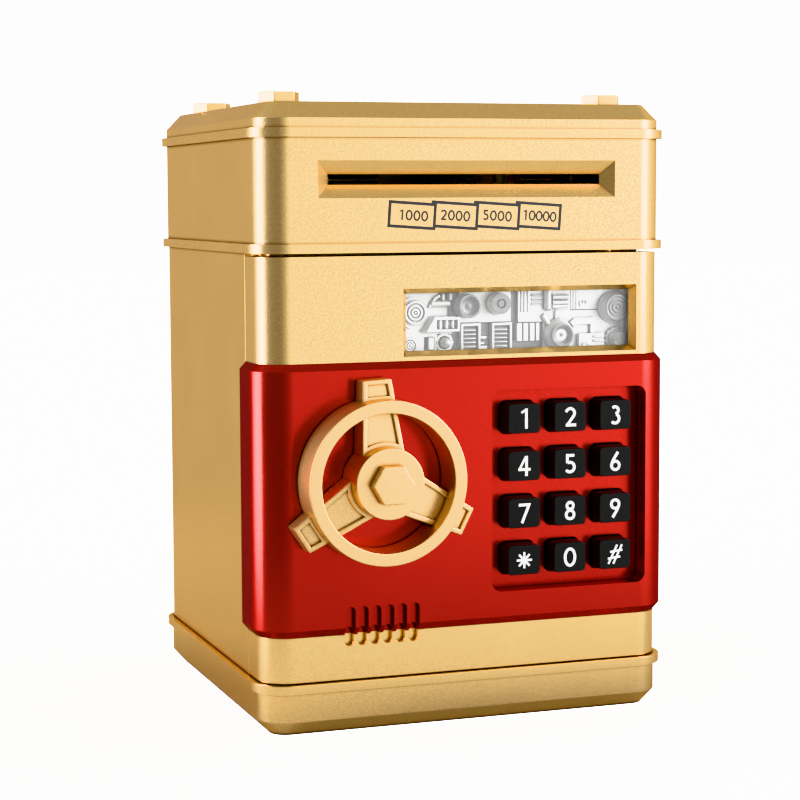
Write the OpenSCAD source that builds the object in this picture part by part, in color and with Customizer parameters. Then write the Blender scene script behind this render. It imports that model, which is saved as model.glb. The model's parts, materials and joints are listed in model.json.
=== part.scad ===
// Toy cash machine savings bank. A case with a raised head swallows notes through motor-driven
// rollers. A hinged door carries the keypad, the window, the loudspeaker and the wheel-driven lock.
// X runs to the right along the front, Y runs from the front to the back, Z runs up.
// The origin is the middle of the underside.

/* [Case] */
// Width across the side walls of the base and the head
case_w = 128.5; // [127:0.5:131]
// Depth from the front face of the head to the back
case_d = 119.6; // [119:0.2:123]
// Radius of the upright corners
corner_r = 9; // [8.5:0.5:10]
// Thickness of the moulded walls
wall = 2.5; // [2.3:0.1:2.6]
// Height of the flat top
case_h = 185; // [184.5:0.5:188]
// How far the raised trims stand out from the walls
trim_out = 1.6; // [1.2:0.1:2]
// Depth of each raised trim up the wall
trim_h = 2.7; // [2.4:0.1:2.8]
// How far the door and rear shell are set in from the base and head
step_in = 0.3; // [0.2:0.1:0.5]

/* [Base] */
// Height of the base
base_h = 15.8; // [15.6:0.1:16]
// Height of the bevel round the underside
base_bevel_h = 4.5; // [4:0.1:5]
// How far the bevel draws the underside in
base_bevel_in = 4; // [3.5:0.1:4.5]

/* [Head] */
// Height at which the head starts
head_z = 141.3; // [141.3:0.1:141.5]
// Height at which the cover starts
cover_z = 174.6; // [174.6:0.1:175]
// Height of the bevel round the top
cover_bevel_h = 4.9; // [4.5:0.1:5.2]
// How far the bevel draws the top in
cover_bevel_in = 4.7; // [4.4:0.1:5]
// Height of the middle of the note slot
slot_z = 162.5; // [162:0.1:163]
// Width of the slot's funnel at the front
funnel_w = 94; // [90:1:98]
// Height of the slot's funnel at the front
funnel_h = 11; // [10:0.5:12]
// Width of the slot itself
slot_w = 86; // [80:1:88]
// Height of the slot itself
slot_h = 3; // [2.5:0.5:4]
// Depth of the funnel
slot_depth = 3; // [2.8:0.1:3.2]
// Length of the coin slot
coin_slot_l = 34; // [28:1:36]
// Width of the coin slot
coin_slot_w = 5; // [4.5:0.1:6]
// Distance of the coin slot behind the middle
coin_slot_y = 25; // [20:1:30]
// Sideways distance of the cover bolts from the middle
cover_bolt_x = 52; // [51:0.5:53]
// Front-to-back distance of the cover bolts from the middle
cover_bolt_y = 38.5; // [36:0.5:40]

/* [Door] */
// Gap under the door
door_gap_low = 0.4; // [0.4:0.1:1]
// Gap over the door
door_gap_high = 1.0; // [0.5:0.1:1.2]
// Position of the upright seam between door and rear shell
seam_y = -41.7; // [-42:0.1:-41.5]
// Clearance at that seam
seam_gap = 0.4; // [0.3:0.1:0.6]
// Radius of the rolled hinge edge
knuckle_r = 2.8; // [2.8:0.1:3]
// Left edge of the window
window_left = -20.9; // [-24:0.1:-18]
// Right edge of the window
window_right = 54.5; // [50:0.1:55]
// Bottom edge of the window
window_low = 110.6; // [110.2:0.1:112]
// Top edge of the window
window_high = 130.7; // [129:0.1:131]
// Width of the window's bevel
window_bevel = 1.6; // [1.4:0.1:1.8]

/* [Red band] */
// How far the band stands out from the door
band_out = 1.95; // [1.7:0.05:2.1]
// Height at which the band starts on the door's face
band_low = 29.45; // [29.2:0.05:29.6]
// Height at which the band ends on the door's face
band_high = 109.55; // [109:0.05:109.9]
// Height of the band's bottom bevel
band_bevel_low = 2.35; // [2:0.05:2.5]
// Height of the band's top bevel
band_bevel_high = 2.15; // [2:0.05:2.5]

/* [Keypad] */
// Left edge of the keypad pocket
pocket_left = 6.2; // [5.4:0.1:6.4]
// Right edge of the keypad pocket
pocket_right = 56.9; // [56.2:0.1:57]
// Bottom edge of the keypad pocket
pocket_low = 39.4; // [38:0.1:40]
// Top edge of the keypad pocket
pocket_high = 99.9; // [99:0.1:101]
// Depth of the pocket behind the band's face
pocket_depth = 6.3; // [6:0.1:6.6]
// Width of a key
key_w = 10.9; // [10.6:0.1:11.2]
// Height of a key
key_h = 9.3; // [9:0.1:9.6]
// Sideways distance between keys
key_pitch_x = 15; // [14.8:0.05:15.2]
// Upright distance between keys
key_pitch_z = 14.25; // [14:0.05:14.5]
// Middle of the key field across the door
key_mid_x = 31.75; // [31.5:0.05:32]
// Middle of the key field up the door
key_mid_z = 69.85; // [69.5:0.05:70.2]
// Travel of a key
key_travel = 1.0; // [0.8:0.1:1]

/* [Hand wheel] */
// Place of the wheel's axis across the door
wheel_x = -30.5; // [-31:0.1:-30]
// Place of the wheel's axis up the door
wheel_z = 75.5; // [75:0.1:76]
// Outer radius of the ring
ring_outer_r = 24; // [23.5:0.1:24.5]
// Inner radius of the ring
ring_inner_r = 20.2; // [19.8:0.1:20.8]
// Radius of the hub
hub_r = 10.4; // [10:0.1:10.8]
// Reach of the spokes from the axis
spoke_reach = 29.5; // [28.5:0.5:30]

/* [Lock] */
// Travel of the bolt for one radian of the wheel, which is the pinion's pitch radius
throw = 6; // [5.9:0.1:6.1]
// Travel of the solenoid plunger
plunger_travel = 3; // [2.5:0.1:3]

/* [Note feeder] */
// Radius of the rollers
roller_r = 4.5; // [4.3:0.1:4.5]
// Gap between the two rollers
nip = 0.3; // [0.3:0.1:0.6]

/* [Fits] */
// Running clearance of shafts in their holes, on the radius
running = 0.05; // [0.03:0.01:0.08]
// Clearance of covers and sliding pieces
slack = 0.3; // [0.2:0.05:0.35]
// Tooth thinning that gives the gears their backlash
backlash = 0.12; // [0.1:0.02:0.2]

/* [Hidden] */
$fn = 48;

gold = [0.86, 0.7, 0.42];
red = [0.75, 0.07, 0.05];
black = [0.1, 0.1, 0.1];
silver = [0.8, 0.8, 0.82];
steel = [0.6, 0.6, 0.63];
nylon = [0.9, 0.9, 0.86];
board_green = [0.1, 0.35, 0.2];
brass = [0.75, 0.6, 0.3];

cut = 1; // how far a cutting solid runs past the face it opens

// Pairs of the driving dimensions: width and height, place across and up, or two ends
slot_outer = [funnel_w, funnel_h];
slot_inner = [slot_w, slot_h];
coin_slot = [coin_slot_l, coin_slot_w];
cover_bolt = [cover_bolt_x, cover_bolt_y];
window = [window_left, window_right, window_low, window_high];
band_z = [band_low, band_high];
band_bevel = [band_bevel_low, band_bevel_high];
pocket = [pocket_left, pocket_right, pocket_low, pocket_high];
key_size = [key_w, key_h];
key_pitch = [key_pitch_x, key_pitch_z];
key_mid = [key_mid_x, key_mid_z];
wheel_at = [wheel_x, wheel_z];
ring_r = [ring_outer_r, ring_inner_r];

// Outlines of the case and of the set-in middle
front_y = -case_d / 2;
mid_w = case_w - 2 * step_in;
mid_d = case_d - 2 * step_in;
mid_r = corner_r - step_in;
door_front = -mid_d / 2;
band_front = door_front - band_out;

// Heights
floor_t = 3;
deck_top = head_z + wall;
roof_z = case_h - wall;
door_z = [base_h + door_gap_low, head_z - door_gap_high];

// Hinge axis, in the middle of the rolled edge
door_back = seam_y - seam_gap;
hinge = [mid_w / 2 - knuckle_r, door_back - knuckle_r];
pin_r = 1.25;
pin_depth = 8;
pin_reach = 9;

// Screws
screw_r = 1.3;
screw_head_r = 2.8;
shell_screw_at = [[-56, -34], [56, -34], [-55.5, 51.5], [55.5, 51.5]];
base_head_z = 6;
screw_head_h = 2;
boss_h = 14;
cover_boss_z = cover_z - 0.6;
bolt_head_r = 6.3;
bolt_head_h = 3.3;

// Door interior
door_inner = door_front + wall;
back_plate_y = [-46.7, -44.7];
hump = [-53, -8, 31, 98];
hump_back = -32;
hump_wall = 1.8;
door_boss_at = [[-56.5, 24], [-56.5, 132.5], [53, 24], [50, 134.4]];
door_boss_r = 2.6;
door_screw_r = 1;
lens_t = 1.2;
lens_back = door_inner + lens_t;
relief_wall = 1;
relief_base_y = door_inner + 7;
relief_t = 1.6;
pocket_wall = 1.5;
pocket_r = 3;
pocket_floor_y = band_front + pocket_depth;
key_r = 1.8;
key_gap = 0.5;
key_flange = 1;
key_flange_out = 1.2;
board_y = [-49, -47.4];
KEYS = ["1", "2", "3", "4", "5", "6", "7", "8", "9", "star", "0", "hash"];

// Vents over the loudspeaker
vent_first = -38.2;
vent_step = 4;
vent_count = 6;
vent_w = 2.8;
vent_z = [26, 38];
vent_depth = 2;
sound_slot_w = 0.7;
sound_slot_shift = -0.9;
vent_pad_x = [vent_first - 3, vent_first + vent_step * (vent_count - 1) + 3];
speaker_at = [vent_first + vent_step * (vent_count - 1) / 2, 33];
speaker_pad = 2;
speaker_r = 12.5;

// Hand wheel, measured outwards from the band's face
wheel_gap = 0.5;
hub_out = 13.5;
ring_out = 12.5;
spoke_turn = 3.2; // angle of the spokes at rest
spoke_out = [8.6, 6.8];
spoke_half = [6.25, 4.35];
spoke_rim = 1.6;
spoke_recess = 1;
hub_rim = 1.2;
pad_rim = [0.8, 1.4]; // rim of the recess outside the ring, at its inner and outer end
hex_out = 17;
hex_across = 11;
shaft_r = 3;
shaft_end = -34.2;
bush_r = 4.5;

// Lock
pressure = 25;
addendum = 0.85;
dedendum = 1.15;
pinion_teeth = 12;
pinion_m = 2 * throw / pinion_teeth;
bolt_y = [-39, -35];
bolt_x = [-54.5, -10];
bolt_z0 = 61.5;
rack_z = wheel_at[1] - throw;
rack_span = [-3.5, 4.6]; // reach of the rack to each side of the wheel's axis, in teeth
rack_root = rack_z - dedendum * pinion_m;
lug_x = -22;
lug_half = 1.5;
lug_z = bolt_z0 - plunger_travel - 0.7;
plunger_at = [lug_x - throw / 2, -38.8];
plunger_tip_r = 1.2;
core_r = 2.6;
coil_r = 4.5;
coil_z = [36, 52];
frame_t = 1.4;
plunger_z = [37, 47, lug_z - 0.6]; // foot, shoulder and tip
strike_x = [-(mid_w / 2 - wall), -56];
strike_y = [-41.4, -39.4];

// Note feeder
roller_y = -44;
feeder_front = roller_y - 9;
axle_r = 1.25;
motor_r = 7.4;
motor_flat = 5.8;
motor_boss_r = 3;
motor_shaft_r = 0.8;
tyre_half = 7;
drive_at = [roller_y, slot_z - nip / 2 - roller_r];
idler_at = [roller_y, slot_z + nip / 2 + roller_r];
roller_shaft_r = 1.5;
plate_x = [46, 47.5];
gear_x = [48.3, 51.3];
train_m = 0.6;
roller_teeth = 24;
middle_teeth = 26;
motor_teeth = 10;
motor_at = [-23.5, 171.5];
sync_teeth = 15;
sync_m = (2 * roller_r + nip) / sync_teeth;
deck_hole = [-43, 43, -37, 40];
// Gear directions in the plane seen along X, angles from +Y towards +Z
span = motor_at - drive_at;
span_len = norm(span);
span_angle = atan2(span[1], span[0]);
reach_roller = train_m * (roller_teeth + middle_teeth) / 2;
reach_motor = train_m * (middle_teeth + motor_teeth) / 2;
lean = acos((reach_roller ^ 2 + span_len ^ 2 - reach_motor ^ 2) / (2 * reach_roller * span_len));
to_middle = span_angle - lean;
middle_at = drive_at + reach_roller * [cos(to_middle), sin(to_middle)];
to_motor = atan2(motor_at[1] - middle_at[1], motor_at[0] - middle_at[0]);
middle_turn = to_middle + 180 + 180 / middle_teeth;
motor_turn = to_motor + 180 - (middle_turn - to_motor) * middle_teeth / motor_teeth + 180 / motor_teeth;

// Battery box
cell_r = 7.1;
cell_l = 50.5;
cell_pitch = 15;
cell_mid = [0, 31, 10.2];
bay = [-30, 30, 8, 54];
box_wall = 1.5;
box_top = 19;
battery_lid_t = 1.8;
box_x = [bay[0] - box_wall - slack, bay[1] + box_wall + slack];
box_y = [bay[2] - box_wall - slack, bay[3] + box_wall + slack];
lid_tab = [30, 39, 26, 36];
lid_screw_at = [34.8, 31];

// ---- Shared shapes ----

// Rounded rectangular slab from z0 to z1, its outline drawn in by in0 at z0 and in1 at z1
module tier(w, d, r, z0, z1, in0 = 0, in1 = 0) {
    for (sx = [-1, 1], sy = [-1, 1])
        translate([sx * (w / 2 - r), sy * (d / 2 - r), z0])
            cylinder(h = z1 - z0, r1 = r - in0, r2 = r - in1);
    rotate([90, 0, 0]) translate([0, 0, r - d / 2]) linear_extrude(d - 2 * r)
        taper(w, z0, z1, in0, in1);
    rotate([90, 0, 90]) translate([0, 0, r - w / 2]) linear_extrude(w - 2 * r)
        taper(d, z0, z1, in0, in1);
}

module taper(w, z0, z1, in0, in1) {
    polygon([[in0 - w / 2, z0], [w / 2 - in0, z0], [w / 2 - in1, z1], [in1 - w / 2, z1]]);
}

// Box between two corners given as [low, high] pairs
module span_box(x, y, z) {
    translate([x[0], y[0], z[0]]) cube([x[1] - x[0], y[1] - y[0], z[1] - z[0]]);
}

// Rounded rectangle
module rounded(w, h, r) {
    square([w - 2 * r, h], center = true);
    square([w, h - 2 * r], center = true);
    for (sx = [-1, 1], sy = [-1, 1])
        translate([sx * (w / 2 - r), sy * (h / 2 - r)]) circle(r);
}

// Rounded rectangular bar along Y, between y[0] and y[1], around a middle [x, z]
module bar_y(mid, w, h, r, y) {
    translate([mid[0], y[0], mid[1]]) rotate([-90, 0, 0]) linear_extrude(y[1] - y[0])
        rounded(w, h, r);
}

// Cylinder along Y around [x, z]
module rod_y(at, r, y) {
    translate([at[0], y[0], at[1]]) rotate([-90, 0, 0]) cylinder(h = y[1] - y[0], r = r);
}

// Cylinder along X around [y, z]
module rod_x(at, r, x) {
    translate([x[0], at[0], at[1]]) rotate([0, 90, 0]) cylinder(h = x[1] - x[0], r = r);
}

// Cylinder along Z around [x, y]
module rod_z(at, r, z) {
    translate([at[0], at[1], z[0]]) cylinder(h = z[1] - z[0], r = r);
}

// Rectangular funnel along +Y: outer [w, h] at y0 narrows to inner [w, h] at y1
module funnel(mid, outer, inner, y0, y1) {
    translate([mid[0], 0, mid[1]]) intersection() {
        linear_extrude(outer[1], center = true)
            polygon([[-outer[0] / 2, y0], [outer[0] / 2, y0], [inner[0] / 2, y1], [-inner[0] / 2, y1]]);
        rotate([90, 0, 90]) linear_extrude(outer[0], center = true)
            polygon([[y0, -outer[1] / 2], [y0, outer[1] / 2], [y1, inner[1] / 2], [y1, -inner[1] / 2]]);
    }
}

// Involute gear outline, with a tooth on the +X side
function involute(a) = tan(a) * 180 / PI - a;
function tooth_half(m, teeth, r) =
    let (pitch_r = m * teeth / 2, base_r = pitch_r * cos(pressure))
    90 / teeth - backlash / (2 * pitch_r) * 180 / PI + involute(pressure)
        - involute(acos(min(1, base_r / max(r, base_r))));
function gear_outline(m, teeth, steps = 5) =
    let (root = m * (teeth / 2 - dedendum), tip = m * (teeth / 2 + addendum))
    [for (i = [0 : teeth - 1], side = [-1, 1], k = [0 : steps])
        let (up = side < 0 ? k : steps - k, r = root + (tip - root) * up / steps,
            a = 360 * i / teeth + side * tooth_half(m, teeth, r))
        r * [cos(a), sin(a)]];

// Gear along X around [y, z], turned by the given angle
module gear_x_axis(at, m, teeth, turn, x, bore) {
    difference() {
        translate([x[0], at[0], at[1]]) rotate([90, 0, 90]) linear_extrude(x[1] - x[0])
            rotate(turn) polygon(gear_outline(m, teeth));
        rod_x(at, bore, [x[0] - cut, x[1] + cut]);
    }
}

// ---- Case ----

module base_plinth() {
    color(gold) difference() {
        union() {
            difference() {
                union() {
                    tier(case_w, case_d, corner_r, 0, base_bevel_h, base_bevel_in, 0);
                    tier(case_w, case_d, corner_r, base_bevel_h, base_h);
                    tier(case_w + 2 * trim_out, case_d + 2 * trim_out, corner_r + trim_out,
                        base_h - trim_h, base_h);
                }
                tier(case_w - 2 * wall, case_d - 2 * wall, corner_r - wall, base_bevel_h,
                    base_h + cut);
                tier(case_w - 4 * wall, case_d - 4 * wall, corner_r - 2 * wall, floor_t,
                    base_bevel_h + cut);
            }
            for (at = shell_screw_at) rod_z(at, 5, [floor_t - cut, base_h - wall]);
            rod_z(hinge, 3, [base_bevel_h, base_h]);
            rod_z(lid_screw_at, 4, [floor_t - cut, 12]);
        }
        for (at = shell_screw_at) {
            rod_z(at, 3.2, [-cut, base_head_z]);
            rod_z(at, screw_r, [-cut, base_h]);
        }
        rod_z(hinge, pin_r, [base_h - pin_depth, base_h + cut]);
        span_box([bay[0], bay[1]], [bay[2], bay[3]], [-cut, base_h]);
        span_box(box_x, box_y, [floor_t, base_h]);
        span_box([lid_tab[0] - cut, lid_tab[1]], [lid_tab[2], lid_tab[3]], [-cut, battery_lid_t]);
        rod_z(lid_screw_at, 1, [0, 10]);
    }
}

module chamber_floor() {
    color(gold) difference() {
        tier(case_w - 2 * wall - slack, case_d - 2 * wall - slack, corner_r - wall, base_h - wall,
            base_h);
        for (at = shell_screw_at) rod_z(at, screw_r, [0, case_h]);
        rod_z(hinge, 3 + slack, [0, case_h]);
        span_box(box_x, box_y, [0, case_h]);
    }
}

module rear_shell() {
    color(gold) difference() {
        union() {
            difference() {
                tier(mid_w, mid_d, mid_r, base_h, head_z);
                tier(mid_w - 2 * wall, mid_d - 2 * wall, mid_r - wall, base_h - cut, head_z + cut);
            }
            for (at = shell_screw_at, z = [base_h, head_z - boss_h]) {
                rod_z(at, screw_head_r, [z, z + boss_h]);
                side = sign(at[0]);
                span_box([min(at[0], side * (mid_w / 2 - cut)), max(at[0], side * (mid_w / 2 - cut))],
                    [at[1] - 1, at[1] + 1], [z, z + boss_h]);
            }
        }
        span_box([-case_w, case_w], [-case_d, seam_y], [0, case_h]);
        for (at = shell_screw_at) {
            rod_z(at, screw_r, [base_h - cut, base_h + 11]);
            rod_z(at, screw_r, [head_z - 11, head_z + cut]);
        }
    }
}

module head_shell() {
    color(gold) difference() {
        union() {
            difference() {
                union() {
                    tier(case_w, case_d, corner_r, head_z, cover_z);
                    tier(case_w + 2 * trim_out, case_d + 2 * trim_out, corner_r + trim_out, head_z,
                        head_z + trim_h);
                }
                tier(case_w - 2 * wall, case_d - 2 * wall, corner_r - wall, deck_top, case_h);
                span_box([deck_hole[0], deck_hole[1]], [deck_hole[2], deck_hole[3]],
                    [head_z - cut, case_h]);
            }
            // thicker wall behind the note slot
            span_box([-slot_outer[0] / 2 - 2, slot_outer[0] / 2 + 2], [front_y + 1, front_y + slot_depth],
                [slot_z - slot_outer[1] / 2 - 2, slot_z + slot_outer[1] / 2 + 2]);
            rod_z(hinge, 3, [head_z, head_z + pin_depth + 1]);
            for (sx = [-1, 1], sy = [-1, 1]) {
                at = [sx * cover_bolt[0], sy * cover_bolt[1]];
                rod_z(at, 4, [cover_boss_z, roof_z]);
                span_box([min(at[0], sx * (case_w / 2 - 1)), max(at[0], sx * (case_w / 2 - 1))],
                    [at[1] - 1.5, at[1] + 1.5], [cover_boss_z, cover_z]);
            }
        }
        funnel([0, slot_z], slot_outer, slot_inner, front_y, front_y + slot_depth);
        span_box([-slot_outer[0] / 2, slot_outer[0] / 2], [front_y - cut, front_y],
            [slot_z - slot_outer[1] / 2, slot_z + slot_outer[1] / 2]);
        span_box([-slot_inner[0] / 2, slot_inner[0] / 2], [front_y, front_y + slot_depth + cut],
            [slot_z - slot_inner[1] / 2, slot_z + slot_inner[1] / 2]);
        rod_z(hinge, pin_r, [head_z - cut, head_z + pin_depth]);
        for (at = shell_screw_at) rod_z(at, screw_r, [0, deck_top + cut]);
        for (sx = [-1, 1], sy = [-1, 1])
            rod_z([sx * cover_bolt[0], sy * cover_bolt[1]], 1.6, [cover_boss_z - cut, case_h]);
    }
}

module top_cover() {
    straight = case_h - cover_bevel_h;
    color(gold) difference() {
        union() {
            tier(case_w, case_d, corner_r, cover_z, straight);
            tier(case_w + 2 * trim_out, case_d + 2 * trim_out, corner_r + trim_out, cover_z,
                cover_z + trim_h);
            tier(case_w, case_d, corner_r, straight, case_h, 0, cover_bevel_in);
        }
        tier(case_w - 2 * wall, case_d - 2 * wall, corner_r - wall, cover_z - cut, straight);
        tier(case_w - 2 * wall, case_d - 2 * wall, corner_r - wall, straight, roof_z,
            0, cover_bevel_in - wall);
        span_box([-coin_slot[0] / 2, coin_slot[0] / 2],
            [coin_slot_y - coin_slot[1] / 2, coin_slot_y + coin_slot[1] / 2], [cover_z, case_h + cut]);
        for (sx = [-1, 1], sy = [-1, 1])
            rod_z([sx * cover_bolt[0], sy * cover_bolt[1]], 1.6, [cover_z, case_h + cut]);
    }
}

module top_bolts() {
    color(gold) for (sx = [-1, 1], sy = [-1, 1]) {
        at = [sx * cover_bolt[0], sy * cover_bolt[1]];
        translate([at[0], at[1], case_h]) cylinder(h = bolt_head_h, r = bolt_head_r, $fn = 6);
        rod_z(at, 1.6, [cover_boss_z, case_h + cut]);
    }
}

// Screws that hold the head down on the rear shell
module head_screws() {
    color(steel) for (at = shell_screw_at) {
        rod_z(at, screw_head_r, [deck_top, deck_top + screw_head_h]);
        rod_z(at, screw_r, [head_z - 10, deck_top + cut]);
    }
}

// Screws from below that hold the base to the rear shell
module base_screws() {
    color(steel) for (at = shell_screw_at) {
        rod_z(at, screw_head_r, [base_head_z - screw_head_h, base_head_z]);
        rod_z(at, screw_r, [base_head_z - cut, base_h + 10]);
    }
}

// Keeper inside the left wall, which the bolt goes behind
module strike_plate() {
    z = [53, 76];
    color(steel) {
        span_box(strike_x, strike_y, z);
        for (tab = [[z[0], z[0] + 5], [z[1] - 4, z[1]]])
            span_box([strike_x[0], strike_x[0] + 1.2], [strike_y[0], -28], tab);
    }
}

module hinge_pins() {
    color(steel) {
        rod_z(hinge, pin_r, [base_h - pin_depth, door_z[0] + pin_reach]);
        rod_z(hinge, pin_r, [door_z[1] - pin_reach, head_z + pin_depth]);
    }
}

// ---- Note feeder ----

module feeder_frame() {
    back = motor_at[0] + 9;
    cross = [-plate_x[0], plate_x[0]];
    color(black) difference() {
        union() {
            span_box(plate_x, [feeder_front, back], [deck_top, cover_z]);
            span_box([-plate_x[1], -plate_x[0]], [feeder_front, back], [deck_top, cover_z]);
            span_box(cross, [feeder_front, feeder_front + 3], [deck_top, deck_top + 3]);
            span_box(cross, [feeder_front, feeder_front + 4], [cover_z - 1.6, cover_z]);
            span_box(cross, [back - 2, back], [deck_top + 4, deck_top + 8]);
        }
        rod_x(drive_at, roller_shaft_r + running, [-case_w, case_w]);
        rod_x(idler_at, roller_shaft_r + running, [-case_w, case_w]);
        rod_x(middle_at, axle_r, [0, case_w]);
        rod_x(motor_at, motor_boss_r, [0, case_w]);
    }
}

// Can with two flats, and a bearing boss at each end
module feed_motor() {
    color(steel) intersection() {
        union() {
            rod_x(motor_at, motor_r, [21, plate_x[0]]);
            rod_x(motor_at, motor_boss_r, [19, plate_x[0] + 1.4]);
        }
        span_box([0, case_w], [motor_at[0] - motor_r, motor_at[0] + motor_r],
            [motor_at[1] - motor_flat, motor_at[1] + motor_flat]);
    }
}

module note_sensor_board() {
    board = [cover_z - 3.2, cover_z - 1.6];
    color(board_green) {
        span_box([18, 38], [feeder_front, feeder_front + 4], board);
        span_box([25, 31], [feeder_front + 0.5, feeder_front + 3.5], [board[0] - 2.8, board[0]]);
    }
}

module gear_axle() {
    color(steel) rod_x(middle_at, axle_r, [plate_x[0], gear_x[1] + 0.6]);
}

module roller_shaft(at) {
    color(steel) rod_x(at, roller_shaft_r, [-gear_x[1], gear_x[1]]);
}

module roller_tyres(at) {
    color(black) for (x = [-31, 0, 31]) difference() {
        rod_x(at, roller_r, [x - tyre_half, x + tyre_half]);
        rod_x(at, roller_shaft_r, [x - tyre_half - cut, x + tyre_half + cut]);
    }
}

module drive_shaft() { roller_shaft(drive_at); }
module idler_shaft() { roller_shaft(idler_at); }
module drive_tyres() { roller_tyres(drive_at); }
module idler_tyres() { roller_tyres(idler_at); }

module roller_gear() {
    color(nylon) gear_x_axis(drive_at, train_m, roller_teeth, to_middle, gear_x, roller_shaft_r);
}

module drive_sync_gear() {
    color(nylon) gear_x_axis(drive_at, sync_m, sync_teeth, 90, -[gear_x[1], gear_x[0]], roller_shaft_r);
}

module idler_sync_gear() {
    color(nylon) gear_x_axis(idler_at, sync_m, sync_teeth, -90 + 180 / sync_teeth,
        -[gear_x[1], gear_x[0]], roller_shaft_r);
}

module intermediate_gear() {
    color(nylon) gear_x_axis(middle_at, train_m, middle_teeth, middle_turn, gear_x, axle_r + running);
}

module motor_pinion() {
    color(brass) {
        gear_x_axis(motor_at, train_m, motor_teeth, motor_turn, gear_x, motor_shaft_r);
        rod_x(motor_at, motor_shaft_r, [gear_x[0] - 0.6, gear_x[1] + 0.4]);
    }
}

// ---- Battery box ----

module battery_box() {
    color(black) difference() {
        span_box([bay[0] - box_wall, bay[1] + box_wall], [bay[2] - box_wall, bay[3] + box_wall],
            [floor_t, box_top]);
        span_box([bay[0], bay[1]], [bay[2], bay[3]], [floor_t - cut, box_top - box_wall]);
    }
}

module battery_cells() {
    color([0.2, 0.35, 0.6]) for (i = [-1 : 1]) {
        at = [cell_mid[1] + i * cell_pitch, cell_mid[2]];
        flip = i == 0 ? -1 : 1;
        rod_x(at, cell_r, [-cell_l / 2 + (flip < 0 ? 1.3 : 0), cell_l / 2 - (flip > 0 ? 1.3 : 0)]);
        rod_x(at, 2.6, [-cell_l / 2, cell_l / 2]);
    }
}

// Bent contact strips at both ends of the cells
module battery_contacts() {
    color(steel) for (side = [-1, 1], i = [-1 : 1]) {
        y = cell_mid[1] + i * cell_pitch;
        inner = side * cell_l / 2;
        outer = side * (cell_l / 2 + 0.6);
        span_box([min(inner, outer), max(inner, outer)], [y - 5, y + 5], [5, 15]);
        span_box([min(outer, side * bay[1]), max(outer, side * bay[1])], [y - 2, y + 2], [12, 15]);
    }
}

module battery_cover() {
    gap = 0.2;
    color(gold) difference() {
        union() {
            span_box([bay[0] + gap, bay[1] - gap], [bay[2] + gap, bay[3] - gap], [0, battery_lid_t]);
            span_box([lid_tab[0] - cut, lid_tab[1] - gap], [lid_tab[2] + gap, lid_tab[3] - gap],
                [0, battery_lid_t]);
        }
        rod_z(lid_screw_at, 1, [-cut, battery_lid_t + cut]);
        rod_z(lid_screw_at, 2.2, [-cut, 1]);
        for (i = [-2 : 2])
            span_box([-24 + 2 * i, -23 + 2 * i], [24, 38], [-cut, 0.4]);
    }
}

module battery_cover_screw() {
    color(steel) {
        rod_z(lid_screw_at, 2.2, [0.2, 1]);
        rod_z(lid_screw_at, 1, [0.8, 9]);
    }
}

// ---- Door ----

// Space in front of the seam: the left side reaches the seam, the right side ends at back_right
module door_zone(back_right) {
    span_box([-case_w, hinge[0]], [-case_d, door_back], [0, case_h]);
    span_box([hinge[0] - cut, case_w], [-case_d, back_right], [0, case_h]);
}

module vents(y0, y1, w, z, shift = 0) {
    for (i = [0 : vent_count - 1])
        bar_y([vent_first + i * vent_step + shift, (z[0] + z[1]) / 2], w, z[1] - z[0], w / 2 - 0.01,
            [y0, y1]);
}

module door_panel() {
    color(gold) difference() {
        union() {
            intersection() {
                difference() {
                    tier(mid_w, mid_d, mid_r, door_z[0], door_z[1]);
                    tier(mid_w - 2 * wall, mid_d - 2 * wall, mid_r - wall, door_z[0] + wall,
                        door_z[1] - wall);
                }
                door_zone(hinge[1]);
            }
            rod_z(hinge, knuckle_r, door_z);
            for (at = door_boss_at) rod_y(at, door_boss_r, [door_inner - cut, back_plate_y[0]]);
            span_box([speaker_at[0] - 14, speaker_at[0] + 14], [door_inner - cut, door_inner + speaker_pad],
                [vent_z[0] - 2.5, vent_z[1] + 2.5]);
        }
        rod_z(hinge, pin_r + running, [0, door_z[0] + pin_reach + 0.5]);
        rod_z(hinge, pin_r + running, [door_z[1] - pin_reach - 0.5, case_h]);
        for (at = door_boss_at) rod_y(at, door_screw_r, [back_plate_y[0] - 8, back_plate_y[0] + cut]);
        funnel([(window[0] + window[1]) / 2, (window[2] + window[3]) / 2],
            [window[1] - window[0], window[3] - window[2]],
            [window[1] - window[0] - 2 * window_bevel, window[3] - window[2] - 2 * window_bevel],
            door_front, door_inner);
        bar_y([(pocket[0] + pocket[1]) / 2, (pocket[2] + pocket[3]) / 2],
            pocket[1] - pocket[0] + 2 * pocket_wall + 0.2, pocket[3] - pocket[2] + 2 * pocket_wall + 0.2,
            pocket_r + pocket_wall, [door_front - cut, door_inner + cut]);
        rod_y(wheel_at, bush_r, [door_front - cut, door_inner + cut]);
        span_box(vent_pad_x, [door_front - cut, door_inner + speaker_pad + cut],
            [band_z[0], vent_z[1] + 2]);
        vents(door_front - cut, door_front + vent_depth, vent_w, [vent_z[0], band_z[0] + vent_w / 2]);
    }
}

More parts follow.
